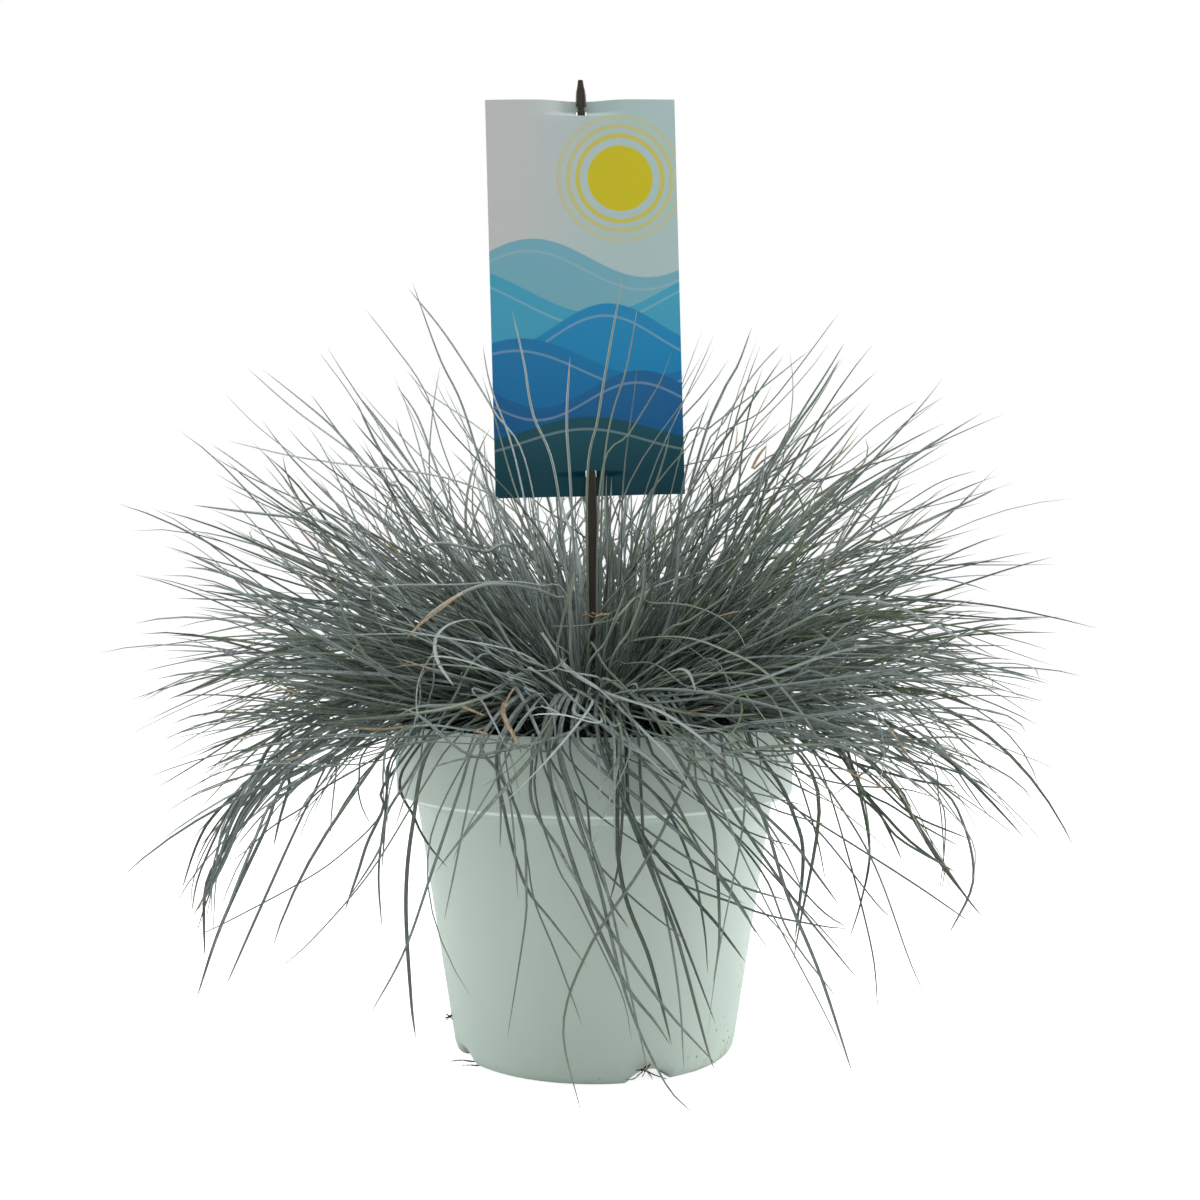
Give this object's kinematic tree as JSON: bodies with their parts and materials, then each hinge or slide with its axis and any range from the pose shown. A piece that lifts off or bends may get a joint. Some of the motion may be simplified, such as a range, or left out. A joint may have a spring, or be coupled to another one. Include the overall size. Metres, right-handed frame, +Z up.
{
  "type": "potted blue fescue clump",
  "caption": "Clump of fine blue-grey grass leaves arching from a soil-filled, tapered plastic pot, with a plain hang card on a stake.",
  "frame": {"origin": "middle of the pot's underside, on the surface it stands on", "axes": "+Z up along the pot's axis, -Y towards the printed front of the card, +X to its right"},
  "size_m": [0.3715, 0.3675, 0.4102],
  "materials": {
    "pot_plastic": "satin",
    "soil": "matte",
    "stake_plastic": "satin",
    "label_card": "satin",
    "leaf_blue_grey": "matte",
    "leaf_silver": "matte",
    "leaf_green_grey": "matte"
  },
  "bodies": {
    "root": {"pot": "pot_plastic", "potting_soil": "soil", "stake": "stake_plastic", "plant_label": "label_card", "leaf_tuft_01": "leaf_blue_grey", "leaf_tuft_02": "leaf_silver", "leaf_tuft_03": "leaf_green_grey", "leaf_tuft_04": "leaf_blue_grey", "leaf_tuft_05": "leaf_silver", "leaf_tuft_06": "leaf_green_grey", "leaf_tuft_07": "leaf_blue_grey", "leaf_tuft_08": "leaf_silver", "leaf_tuft_09": "leaf_green_grey", "leaf_tuft_10": "leaf_blue_grey", "leaf_tuft_11": "leaf_silver", "leaf_tuft_12": "leaf_green_grey", "leaf_tuft_13": "leaf_blue_grey", "leaf_tuft_14": "leaf_silver", "leaf_tuft_15": "leaf_green_grey", "leaf_tuft_16": "leaf_blue_grey", "leaf_tuft_17": "leaf_silver", "leaf_tuft_18": "leaf_green_grey", "leaf_tuft_19": "leaf_blue_grey", "leaf_tuft_20": "leaf_silver", "leaf_tuft_21": "leaf_green_grey", "leaf_tuft_22": "leaf_blue_grey", "leaf_tuft_23": "leaf_silver", "leaf_tuft_24": "leaf_green_grey", "leaf_tuft_25": "leaf_blue_grey", "leaf_tuft_26": "leaf_silver", "leaf_tuft_27": "leaf_green_grey", "leaf_tuft_28": "leaf_blue_grey", "leaf_tuft_29": "leaf_silver", "leaf_tuft_30": "leaf_green_grey", "leaf_tuft_31": "leaf_blue_grey", "leaf_tuft_32": "leaf_silver", "leaf_tuft_33": "leaf_green_grey", "leaf_tuft_34": "leaf_blue_grey", "leaf_tuft_35": "leaf_silver", "leaf_tuft_36": "leaf_green_grey", "leaf_tuft_37": "leaf_blue_grey", "leaf_tuft_38": "leaf_silver", "leaf_tuft_39": "leaf_green_grey", "leaf_tuft_40": "leaf_blue_grey", "leaf_tuft_41": "leaf_silver", "leaf_tuft_42": "leaf_green_grey", "leaf_tuft_43": "leaf_blue_grey", "leaf_tuft_44": "leaf_silver"}
  },
  "joints": []
}
